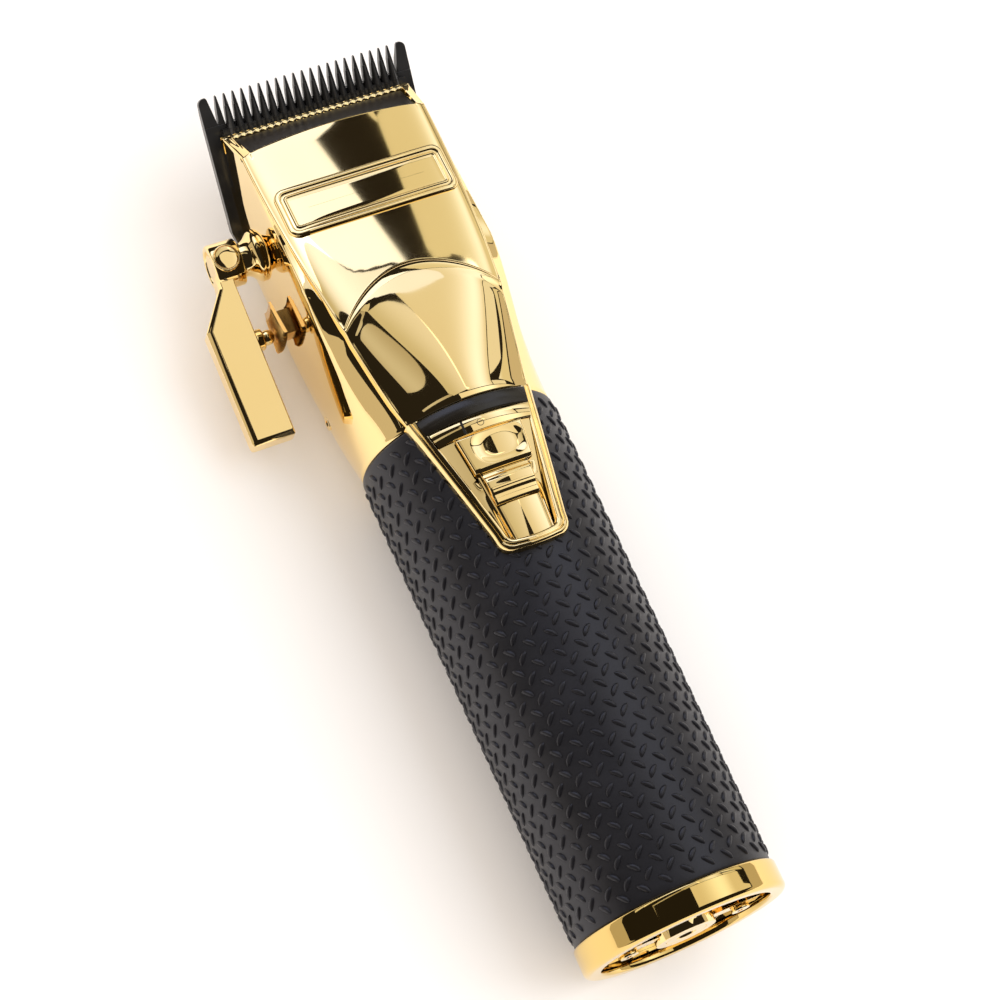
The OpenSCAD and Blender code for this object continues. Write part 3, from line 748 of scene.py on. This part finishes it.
def band_piece():
    low, high = BAND_LOW[1] + 0.03, BAND_HIGH[1] - 0.02
    rows = []
    for y, radius in ((low, 20.5), (low, 21.3), (low + 0.1, 21.55), (low + 0.3, 21.68),
                      ((low + high) / 2, 21.7), (high - 0.3, 21.68), (high - 0.1, 21.55),
                      (high, 21.3), (high, 20.5)):
        half = panel_half(y) - 1.75
        rows.append([on_round(lerp(-half, half, i / 48), y, radius) for i in range(49)])
    piece("light_window", Sheet(rows), LENS, "dark_lens", nodes=("window_band",), sharp=60)


def button_piece():
    low, high = 83.0, 97.4
    step_y = 90.0     # where the wide top step begins
    foot = 20.65
    flat = 0.93       # share of the half width before the side rounds over
    round_r = 0.3

    def half(y):
        wider = lerp(1.1, 1.6, (y - step_y) / (high - step_y))
        return lerp(4.5, 4.8, (y - low) / 6.4) + wider * smooth((y - step_y + 0.7) / 0.8)

    def on_button(x, y, height):
        return (x, y, height - x * x / 110)

    def crest(x, y):
        """Steps down towards the grip, with a wide thumb hollow in the top one."""
        top_y = step_y + 0.5
        levels = ((low, 21.15), (83.5, 21.42), (84.3, 21.5), (84.9, 21.55), (85.5, 21.95),
                  (86.3, 22.15), (87.6, 22.17), (88.4, 21.95), (88.9, 21.5), (89.5, 21.4),
                  (step_y, 22.15), (top_y, 22.6), (high, 22.78))
        height = levels[0][1]
        for (y0, z0), (y1, z1) in zip(levels, levels[1:]):
            if y0 <= y <= y1:
                t = (y - y0) / (y1 - y0)
                height = lerp(z0, z1, smooth(t) if y < top_y else t)
        dish = 1 - (abs((x - 0.9) / 5.6) ** 2.6 + abs((y - 94.2) / 3.8) ** 2.6)
        if dish > 0:
            height -= 0.42 * smooth(dish * 1.2)
        return height

    ys = [low, low + 0.01, low + 0.08, low + 0.3]
    ys += [83.6 + 0.1 * i for i in range(135)]
    ys += [high - 0.3, high - 0.1, high - 0.01, high]
    rows = []
    for k, y in enumerate(ys):
        w = half(y)
        end = min(y - low, high - y)
        fall = round_r * (1 - math.sqrt(clamp(1 - (1 - clamp(end / 0.35)) ** 2)))
        bottom = k in (0, len(ys) - 1)
        left = []
        for s in (-1.0, -0.999, -0.985, -0.96, -flat):
            tuck = round_r * (1 - math.sqrt(clamp(1 - ((abs(s) - flat) / (1 - flat)) ** 2)))
            height = foot if s == -1.0 or bottom else crest(s * w, y) - tuck - fall
            left.append(on_button(s * w, y, height))
        row = list(left)
        for j in range(1, 44):
            s = lerp(-flat, flat, j / 44)
            row.append(on_button(s * w, y, foot if bottom else crest(s * w, y) - fall))
        row += [(-x, y, z) for x, _, z in reversed(left)]
        rows.append(row)
    piece("button_pad", Sheet(rows), GOLD, "polished_gold", body="switch",
          nodes=("switch_button",), sharp=60)


# ---------- end ring ----------

def ring_piece():
    inner = 17.0
    round_r = 1.1
    profile = [(RING_LEN, 18.3), (RING_LEN, RING_R - 0.3), (RING_LEN - 0.1, RING_R - 0.1),
               (RING_LEN - 0.35, RING_R)]
    profile += [(y, RING_R) for y in (4.4, 3.6, 2.8, 2.0)]
    for i in range(9):
        angle = math.radians(90 * i / 8)
        profile.append((round_r - round_r * math.sin(angle),
                        RING_R - round_r + round_r * math.cos(angle)))
    profile += [(0.0, RING_R - 1.4), (0.0, inner + 0.6), (0.03, inner + 0.3), (0.12, inner + 0.12),
                (0.4, inner), (1.5, inner), (4.2, inner)]
    # the ring's darker gold is a painted reflection of the shaded floor
    piece("cap_ring", Sheet(turned(profile, 160, on_y), wrap=True), RING_SHADED_GOLD, "polished_gold",
          nodes=("end_ring",), sharp=50)


# ---------- blades ----------

def prism(sheet, outline, low, high, place):
    """Straight walls and two caps over an outline of (a, b) points."""
    count = len(outline)
    base = len(sheet.points)
    for level in (low, high):
        sheet.points.extend(place(a, b, level(a, b) if callable(level) else level)
                            for a, b in outline)
    for i in range(count):
        j = (i + 1) % count
        sheet.faces.append((base + i, base + j, base + count + j, base + count + i))
    sheet.faces.append(tuple(base + i for i in reversed(range(count))))
    sheet.faces.append(tuple(base + count + i for i in range(count)))


def tooth(sheet, x, root, tip, root_w, tip_w, base_n, root_n, tip_n, edge):
    """A pointed tooth with a roof-shaped top, standing on base_n. edge is its sides' share of
    the height."""
    rows = []
    steps = 8
    for i in range(steps + 1):
        t = i / steps
        u = lerp(root, tip, t)
        w = lerp(root_w, tip_w, t) / 2
        if i == steps:
            u -= 0.06
        top = lerp(root_n, tip_n, t ** 1.4)
        row = []
        for a, b in ((-1, 0.0), (-1, edge), (-0.55, 0.86), (-0.16, 1.0), (0.16, 1.0),
                     (0.55, 0.86), (1, edge), (1, 0.0)):
            row.append(in_blade(x + a * w, u, lerp(base_n, top, b)))
        rows.append(row)
    sheet.grid(rows, wrap=True)
    sheet.cap(rows[-1])


def blade_pieces():
    root = -6.0
    inner = (TOOTH_COUNT + 1) / 2 * TOOTH_PITCH - 1
    corner = 1.3
    half = BLADE_HALF
    # Thickness under the fixed blade, thinning towards the tips
    thins = ((-6.5, -BLADE_T), (-3.0, -BLADE_T * 0.82), (-1.0, -BLADE_T * 0.55), (0.0, -0.7))

    def under(_, u):
        if u <= thins[0][0]:
            return thins[0][1]
        for (u0, n0), (u1, n1) in zip(thins, thins[1:]):
            if u <= u1:
                return lerp(n0, n1, (u - u0) / (u1 - u0))
        return thins[-1][1]

    sheet = Sheet()

    # Body behind the teeth
    outline = [(-half + 1, -BLADE_LEN), (half - 1, -BLADE_LEN), (half, -BLADE_LEN + 4),
               (half, root), (-half, root), (-half, -BLADE_LEN + 4)]
    prism(sheet, outline, under, 0.0, in_blade)
    # Two wide end teeth with rounded outer corners
    for side in (-1, 1):
        outline = [(side * half, root + 0.02), (side * half, -corner - 2), (side * half, -corner)]
        for i in range(1, 8):
            angle = math.radians(90 * i / 8)
            outline.append((side * (half - corner + corner * math.cos(angle)),
                            -corner + corner * math.sin(angle)))
        outline += [(side * (inner + 1.25), 0.0), (side * (inner + 1), -0.4),
                    (side * (inner + 0.5), -3.2), (side * inner, root + 0.02)]
        prism(sheet, outline, under, 0.0, in_blade)
    for i in range(TOOTH_COUNT):
        x = (i - (TOOTH_COUNT - 1) / 2) * TOOTH_PITCH
        outline = [(x - 0.68, root + 0.02), (x - 0.44, -3.0), (x - 0.16, -0.25), (x, 0.0),
                   (x + 0.16, -0.25), (x + 0.44, -3.0), (x + 0.68, root + 0.02)]
        prism(sheet, outline, under, 0.0, in_blade)
    piece("comb_blade", sheet, BLACK, "black_blade", body="blade_carriage",
          nodes=("fixed_blade",), sharp=25, bevel=0.1)

    # The cutter: a plate with roof-shaped ribs that run out into its teeth
    sheet = Sheet()
    phase, tip, rib_end, back = 0.6, -2.5, -7.1, -17.0
    plate_half, plate_front, gap = 20, -6.9, 0.06
    count = TOOTH_COUNT - 1
    outline = [(phase - plate_half, back), (phase + plate_half, back),
               (phase + plate_half, plate_front), (phase - plate_half, plate_front)]
    prism(sheet, outline, gap, 1.35, in_blade)
    for i in range(count):
        x = phase + (i - (count - 1) / 2) * TOOTH_PITCH
        tooth(sheet, x, back + 0.5, rib_end, 1.78, 1.62, gap, 2.0, 2.0, 0.55)
        tooth(sheet, x, rib_end, tip, 1.62, 0.5, gap, 2.0, 0.95, 0.5)
    piece("cutter_comb", sheet, BLACK, "black_blade", body="cutter",
          nodes=("cutter_blade",), sharp=25)


# ---------- taper lever ----------

def lever_lathe(name, profile, count, place, **look):
    """A turned piece on or round the lever."""
    piece(name, Sheet(turned(profile, count, place), wrap=True), GOLD, **look)


def lever_pieces():
    # The flat bar, from its back edge over the outline to the bevelled front
    outline = [(-27.0, -2.0), (-30.5, -2.0), (-30.9, -5.0), (-36.4, -12.9), (-36.0, -37.3),
               (-35.8, -37.8), (-35.3, -38.0), (-27.5, -38.0), (-27.0, -37.9), (-26.9, -37.4),
               (-27.2, -5.0)]
    inner = [(-27.2, -2.0), (-30.1, -2.0), (-30.2, -5.4), (-35.3, -13.2), (-34.9, -36.7),
             (-34.8, -36.95), (-34.6, -37.05), (-27.7, -37.05), (-27.4, -37.0), (-27.3, -36.8),
             (-27.5, -5.0)]
    rows = []
    for level, t in ((-2.8, 0.4), (-2.4, 0.0), (1.75, 0.0), (2.45, 0.55), (2.8, 1.0)):
        rows.append([in_lever(lerp(a, c, t), lerp(b, d, t), level)
                     for (a, b), (c, d) in zip(outline, inner)])
    sheet = Sheet(rows, wrap=True)
    sheet.cap(list(reversed(rows[0])))
    sheet.cap(rows[-1])
    piece("lever_bar", sheet, GOLD, "polished_gold", body="lever",
          nodes=("taper_lever",), sharp=25, bevel=0.16)

    boss_end, boss_r = -30.5, 4.9
    profile = [(-24.4, 3.1), (-24.4, 4.5), (-24.5, 4.75), (-24.8, boss_r), (-26.5, boss_r),
               (-28.5, boss_r), (-29.9, boss_r), (-30.25, 4.82), (-30.45, 4.6), (boss_end, 4.3),
               (boss_end, 3.9), (-30.42, 3.75), (-30.1, 3.65), (-30.1, 3.3), (-30.1, 3.02)]
    lever_lathe("lever_boss", profile, 96, in_lever, slot="polished_gold", body="lever", sharp=45)

    # Smooth collar between the boss and the head
    profile = [(-24.35, 3.1), (-24.35, 3.5), (-23.8, 3.52), (-23.2, 3.62), (-22.6, 3.95),
               (-22.1, 4.45), (-21.7, 4.95), (-21.35, 5.3), (-21.0, 5.45), (-20.6, 5.45),
               (-20.3, 5.3), (-19.6, 5.0), (-19.6, 3.1)]
    lever_lathe("pivot_collar", profile, 72, in_lever, slot="polished_gold",
                nodes=("lever_bush", "lever_washer"), sharp=60)

    # Round seat of the grub screw on the boss, and the screw's top in it
    grub_x = -27.6

    def up_lever(s, a, b):
        return in_lever(grub_x + a, b, s)

    profile = [(3.9, 2.75), (4.85, 2.75), (4.95, 2.68), (4.98, 2.58), (4.95, 2.48), (4.8, 2.42),
               (4.4, 2.4)]
    lever_lathe("grub_seat", profile, 56, up_lever, slot="polished_gold", body="lever", sharp=45)
    profile = [(4.3, 2.38), (4.9, 2.38), (5.0, 2.3), (5.03, 2.15), (5.06, 1.0), (5.06, 0.01)]
    lever_lathe("grub_top", profile, 56, up_lever, slot="bronze", body="lever",
                nodes=("grub_screw",))

    # Tube that holds the click ball
    ball_reach = 17

    def at_ball(s, a, b):
        return in_lever(s, a - ball_reach, b)

    profile = [(-29.0, 2.3), (-26.2, 2.3), (-25.95, 2.25), (-25.8, 2.1), (-25.7, 1.9),
               (-25.7, 1.66), (-26.0, 1.64)]
    lever_lathe("ball_tube", profile, 48, at_ball, slot="polished_gold", body="lever", sharp=45)

    # Serrated sector plate between the lever and the head: teeth on its face and on its rim
    sheet = Sheet()
    top, back, foot = -23.0, -22.2, -19.6
    reach, inner = 20.2, 11.6
    tooth_pitch, face_cut, rim_cut = 3.375, 0.55, 0.75

    def sector(half_angle, count, profile):
        """Part of a ring; each profile point is (radius, x, depth of its teeth)."""
        rows = []
        for i in range(count + 1):
            turn = lerp(half_angle, -half_angle, i / count)
            angle = math.radians(180 + turn)
            cut = 0.5 + 0.5 * math.cos(2 * math.pi * turn / tooth_pitch)
            row = []
            for radius, x, k in profile:
                r = radius - rim_cut * k * cut
                row.append(in_lever(x + face_cut * k * cut, r * math.cos(angle),
                                    r * math.sin(angle)))
            rows.append(row)
        sheet.grid(rows)
        sheet.cap(rows[0])
        sheet.cap(list(reversed(rows[-1])))

    sector(17.5, 150, [(inner, back, 0), (inner, -22.7, 0), (12.6, -22.75, 0), (13.3, top, 0.3),
                       (13.9, top, 0.6), (17.0, top, 0.8), (reach - 0.5, top, 1),
                       (reach, top + 0.2, 1), (reach, back, 1)])
    base_inner, base_outer = inner + 1.4, reach - 1.8
    sector(8.0, 24, [(base_inner, foot, 0), (base_inner, back, 0), (base_outer, back, 0),
                     (base_outer, foot, 0)])
    # the click plate takes the darker gold as painted shade
    piece("click_plate", sheet, SHADED_GOLD, "polished_gold",
          nodes=("detent_rack",), sharp=35)


# ---------- build ----------

cover_piece()
rear_piece()
badge_piece()
grip_piece()
panel_pieces()
band_piece()
button_piece()
ring_piece()
blade_pieces()
lever_pieces()

REPLACED = {"front_housing", "rear_housing", "badge_plate", "grip_sleeve", "switch_panel",
            "window_band", "switch_button", "end_ring", "fixed_blade", "cutter_blade",
            "taper_lever", "grub_screw", "detent_rack", "lever_bush", "lever_washer"}
# The CAD nodes that keep their own shape, with the width of their rounded edges in millimetres
SOFT_EDGES = {"end_plate": 0.15, "end_screws": 0.1, "charging_socket": 0.15, "lever_shaft": 0.2,
              "blade_screws": 0.15, "motor_can": 0.3, "motor_end_cap": 0.2, "battery_cell": 0.3,
              "blade_bracket": 0.15, "cutter_yoke": 0.2, "housing_screws": 0.1}

# FIXME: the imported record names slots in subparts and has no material_slots, so slots stays
# empty and every one of these nodes gets GOLD instead of its own slot's finish
slots = {}
for slot in frame["record"].get("material_slots", []):
    for name in slot.get("nodes", []):
        slots[name] = slot.get("slot", slot.get("name"))
for name in frame["nodes"]:
    if name in REPLACED:
        continue
    item = bpy.data.objects.get(name)
    if item is None or item.type != "MESH":
        continue
    mat = SLOT_FINISH.get(slots.get(name), GOLD)
    if not item.material_slots:
        item.data.materials.append(mat)
    for holder in item.material_slots:
        holder.material = mat
    if name in SOFT_EDGES:
        soften(item, SOFT_EDGES[name], weld=True)


# ---------- camera, floor and light ----------

def look_along(item, forward, up):
    """Turns a camera or a light panel to face along forward."""
    forward = Vector(forward).normalized()
    right = forward.cross(Vector(up)).normalized()
    true_up = right.cross(forward)
    turn = Matrix((right, true_up, -forward)).transposed()
    item.rotation_euler = turn.to_euler()


camera_data = bpy.data.cameras.new("camera")
camera = bpy.data.objects.new("camera", camera_data)
camera.location = (-0.12673, -0.05425, 0.41941)
look_along(camera, (0.28060, 0.31448, -0.90684), (0.32203, 0.85919, 0.39760))
camera_data.lens = 85.39
camera_data.sensor_width = 36.0
camera_data.clip_start = 0.01
bpy.context.scene.collection.objects.link(camera)
bpy.context.scene.camera = camera

floor_mesh = bpy.data.meshes.new("floor")
floor_half = 6.0
floor_z = start_bounds[0][2] - 0.0002
floor_mesh.from_pydata([(x * floor_half, y * floor_half, floor_z)
                        for x, y in ((-1, -1), (1, -1), (1, 1), (-1, 1))], [], [(0, 1, 2, 3)])
floor = bpy.data.objects.new("floor", floor_mesh)
bpy.context.scene.collection.objects.link(floor)
floor_mesh.materials.append(finish("pale_floor", (0.93, 0.925, 0.92), (0.9, 0.895, 0.89), 0.0,
                                   (0.7, 0.8), 3.0, specular=0.0))


def softbox(name, centre, size, radiance, lean=0.0, tint=(1, 1, 1), target=None):
    """A flat light panel; it faces straight down unless it is given a target."""
    data = bpy.data.lights.new(name, "AREA")
    data.shape = "RECTANGLE"
    data.size, data.size_y = size
    data.energy = radiance * size[0] * size[1] * math.pi
    data.color = tint
    item = bpy.data.objects.new(name, data)
    item.location = centre
    forward = Vector(target) - Vector(centre) if target else Vector((0, 0, -1))
    look_along(item, forward, (-math.sin(lean), math.cos(lean), 0.001))
    bpy.context.scene.collection.objects.link(item)
    return item


def card(name, low, high, radiance, lean=0.0, tint=(1.0, 0.99, 0.96), height=1.5, peak=None,
         reach=1.0, dim=(0.6, 0.55, 0.5)):
    """A light panel seen only in reflections, between two corners on the plane over the part.
    With a peak it is brightest at that x, and fades to the dim colour over its reach."""
    middle = ((low[0] + high[0]) / 2, (low[1] + high[1]) / 2, height)
    item = softbox(name, middle, (high[0] - low[0], high[1] - low[1]), radiance, lean, tint)
    item.visible_diffuse = False
    if peak is None:
        return
    item.data.use_nodes = True
    nodes, links = item.data.node_tree.nodes, item.data.node_tree.links
    place = nodes.new("ShaderNodeNewGeometry")
    parts = nodes.new("ShaderNodeSeparateXYZ")
    links.new(place.outputs["Position"], parts.inputs["Vector"])
    offset = nodes.new("ShaderNodeMath")
    offset.operation = "SUBTRACT"
    offset.inputs[1].default_value = peak
    links.new(parts.outputs["X"], offset.inputs[0])
    size = nodes.new("ShaderNodeMath")
    size.operation = "ABSOLUTE"
    links.new(offset.outputs["Value"], size.inputs[0])
    fade = nodes.new("ShaderNodeMapRange")
    fade.interpolation_type = "SMOOTHSTEP"
    fade.inputs["From Max"].default_value = reach
    links.new(size.outputs["Value"], fade.inputs["Value"])
    tone = nodes.new("ShaderNodeMixRGB")
    tone.inputs["Color1"].default_value = (1.0, 1.0, 1.0, 1.0)
    tone.inputs["Color2"].default_value = (*dim, 1.0)
    links.new(fade.outputs["Result"], tone.inputs["Fac"])
    links.new(tone.outputs["Color"], nodes["Emission"].inputs["Color"])


# Places and sizes of the panels are in metres
KEY = (0.66, 0.73, 1.0)
MIDDLE = (0, 0.11, 0)
card("key_left", (-2.357, 1.091), (0.443, 2.891), 2.15, 0.11, KEY, peak=0.0, reach=2.2,
     dim=(0.6, 0.53, 0.36))
card("key_left_low", (-1.5, 0.9), (0.53, 1.22), 1.8, 0.0, KEY, 1.49, peak=0.1, reach=1.1,
     dim=(0.5, 0.42, 0.24))
card("fill_right", (0.656, 0.939), (4.5, 2.939), 1.4, -0.12, (0.8, 0.86, 1.0), peak=1.7, reach=1.15,
     dim=(0.68, 0.6, 0.42))
card("crown", (0.45, 0.5), (1.5, 1.14), 1.6, 0.0, (0.74, 0.8, 1.0), 1.49, peak=1.0, reach=0.6,
     dim=(0.66, 0.58, 0.4))
card("crown_right", (1.56, 0.5), (2.8, 0.84), 0.85)
card("crown_left", (-0.03, 0.52), (0.51, 0.8), 0.95, 0.33, (0.95, 0.95, 1.0), peak=0.6, reach=0.6,
     dim=(0.7, 0.66, 0.5))
card("island", (-1.1, 0.36), (0.0, 0.51), 0.62, 0.2, (1.0, 0.97, 0.9), peak=-0.7, reach=0.7,
     dim=(0.75, 0.7, 0.6))
card("low_front", (0.17, -0.4), (4.5, 0.46), 1.5, tint=(0.9, 0.94, 1.0), peak=1.15, reach=0.85,
     dim=(0.66, 0.6, 0.5))
for name, x in (("wing_left", -2.0), ("wing_right", 2.0)):
    wing = softbox(name, (x, 0.1, 0.3), (0.6, 3.0), 0.6, tint=(1.0, 0.9, 0.74), target=MIDDLE)
    wing.visible_diffuse = False
soft_sun = softbox("soft_sun", (0.75, -0.15, 1.25), (1.1, 1.1), 1.75, tint=(0.85, 1.0, 1.15),
                   target=MIDDLE)
soft_sun.visible_glossy = False

bpy.context.scene.view_settings.view_transform = "Standard"

# The world is bright where it lights, and dark where the metal reflects it
world = bpy.data.worlds.new("studio")
bpy.context.scene.world = world
world.use_nodes = True
world_nodes, world_links = world.node_tree.nodes, world.node_tree.links
background = world_nodes["Background"]
path = world_nodes.new("ShaderNodeLightPath")
mix = world_nodes.new("ShaderNodeMixRGB")
mix.inputs["Color1"].default_value = (1.27, 1.16, 1.06, 1.0)
mix.inputs["Color2"].default_value = (0.02, 0.017, 0.014, 1.0)
world_links.new(path.outputs["Is Glossy Ray"], mix.inputs["Fac"])
world_links.new(mix.outputs["Color"], background.inputs["Color"])
background.inputs["Strength"].default_value = 1.0
